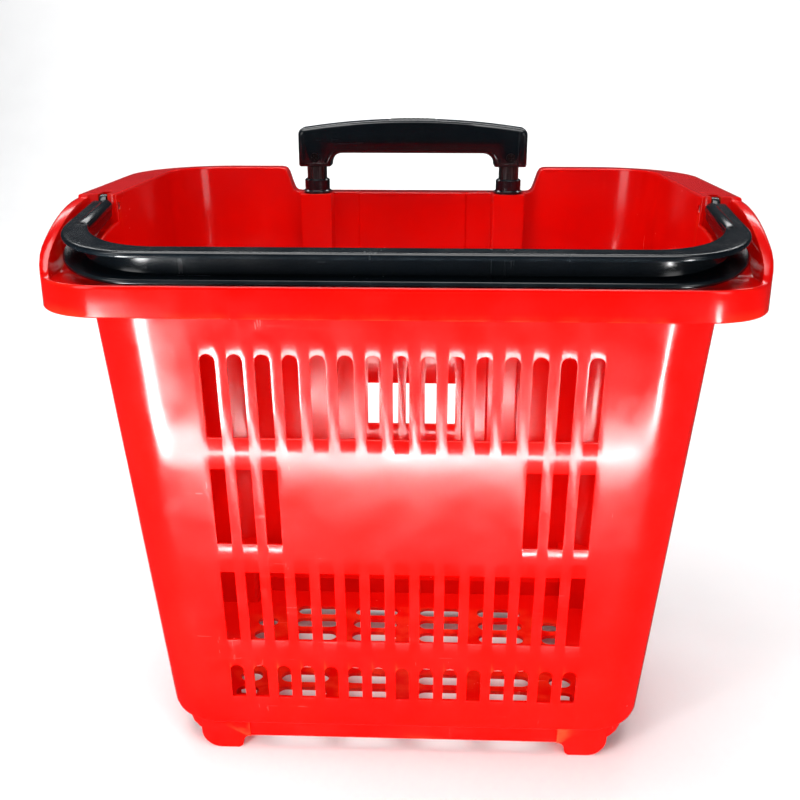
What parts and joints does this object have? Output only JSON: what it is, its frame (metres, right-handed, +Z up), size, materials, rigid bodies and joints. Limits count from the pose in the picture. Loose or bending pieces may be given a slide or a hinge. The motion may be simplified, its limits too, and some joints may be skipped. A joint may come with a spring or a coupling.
{
  "type": "rolling shopping basket",
  "caption": "Moulded slotted basket on two rear wheels, with a folding carry handle across the front rim and a sliding pull handle with a release button at the back.",
  "frame": {"origin": "on the ground under the middle of the rim", "axes": "+Z up, +X to the right of someone facing the low front rim, which faces -Y"},
  "size_m": [0.482, 0.335, 0.4838],
  "materials": {
    "basket_plastic": "glossy moulded polypropylene, finely scratched",
    "handle_plastic": "satin black moulding",
    "button_plastic": "matt black moulding",
    "bracket_plastic": "plain black moulding",
    "tube_metal": "black coated aluminium",
    "steel": "zinc-plated",
    "dark_steel": "blackened",
    "hub_plastic": "plain black moulding",
    "tread": "dark grey thermoplastic rubber"
  },
  "bodies": {
    "basket": {"basket_body": "basket_plastic", "pivot_pin_left": "steel", "pivot_pin_right": "steel", "outer_tube_left": "tube_metal", "outer_tube_right": "tube_metal", "tube_collar_left": "handle_plastic", "tube_collar_right": "handle_plastic", "tube_clamp_left": "bracket_plastic", "tube_clamp_right": "bracket_plastic", "tube_socket_left": "bracket_plastic", "tube_socket_right": "bracket_plastic", "bracket_screws": "steel", "axle": "steel", "axle_spacers": "bracket_plastic", "axle_caps": "steel"},
    "folding_handle": {"carry_handle": "handle_plastic"},
    "pull_handle": {"inner_tube_left": "tube_metal", "inner_tube_right": "tube_metal", "guide_bush_left": "bracket_plastic", "guide_bush_right": "bracket_plastic", "grip_front_shell": "handle_plastic", "grip_rear_shell": "handle_plastic", "grip_screws": "dark_steel", "button_spring": "steel"},
    "button_set": {"release_button": "button_plastic", "button_yoke": "bracket_plastic", "push_rod_left": "steel", "push_rod_right": "steel"},
    "left_pin": {"lock_pin_left": "steel"},
    "right_pin": {"lock_pin_right": "steel"},
    "left_wheel": {"wheel_hub_left": "hub_plastic", "tyre_left": "tread"},
    "right_wheel": {"wheel_hub_right": "hub_plastic", "tyre_right": "tread"}
  },
  "joints": [
    {"name": "carry_handle_hinge", "type": "hinge", "parent": "basket", "child": "folding_handle", "pos_m": [0, -0.036, 0.431], "axis": [-1, 0, 0], "range_deg": [0, 100]},
    {"name": "pull_handle_slide", "type": "slide", "parent": "basket", "child": "pull_handle", "axis": [0, 0, 1], "range_m": [0, 0.3]},
    {"name": "button_press", "type": "slide", "parent": "pull_handle", "child": "button_set", "axis": [0, 0, -1], "range_m": [0, 0.004], "stiffness_N_per_m": 600, "springref_m": -0.004, "deforming": ["button_spring"]},
    {"name": "left_pin_slide", "type": "slide", "parent": "pull_handle", "child": "left_pin", "axis": [1, 0, 0], "range_m": [0, 0.003]},
    {"name": "right_pin_slide", "type": "slide", "parent": "pull_handle", "child": "right_pin", "axis": [-1, 0, 0], "range_m": [0, 0.003]},
    {"name": "left_wheel_spin", "type": "hinge", "parent": "basket", "child": "left_wheel", "pos_m": [-0.163, 0.122, 0.032], "axis": [1, 0, 0], "continuous": true},
    {"name": "right_wheel_spin", "type": "hinge", "parent": "basket", "child": "right_wheel", "pos_m": [0.163, 0.122, 0.032], "axis": [1, 0, 0], "continuous": true}
  ],
  "couplings": [
    {"joint": "left_pin_slide", "follows": "button_press", "ratio": 0.75},
    {"joint": "right_pin_slide", "follows": "button_press", "ratio": 0.75}
  ]
}
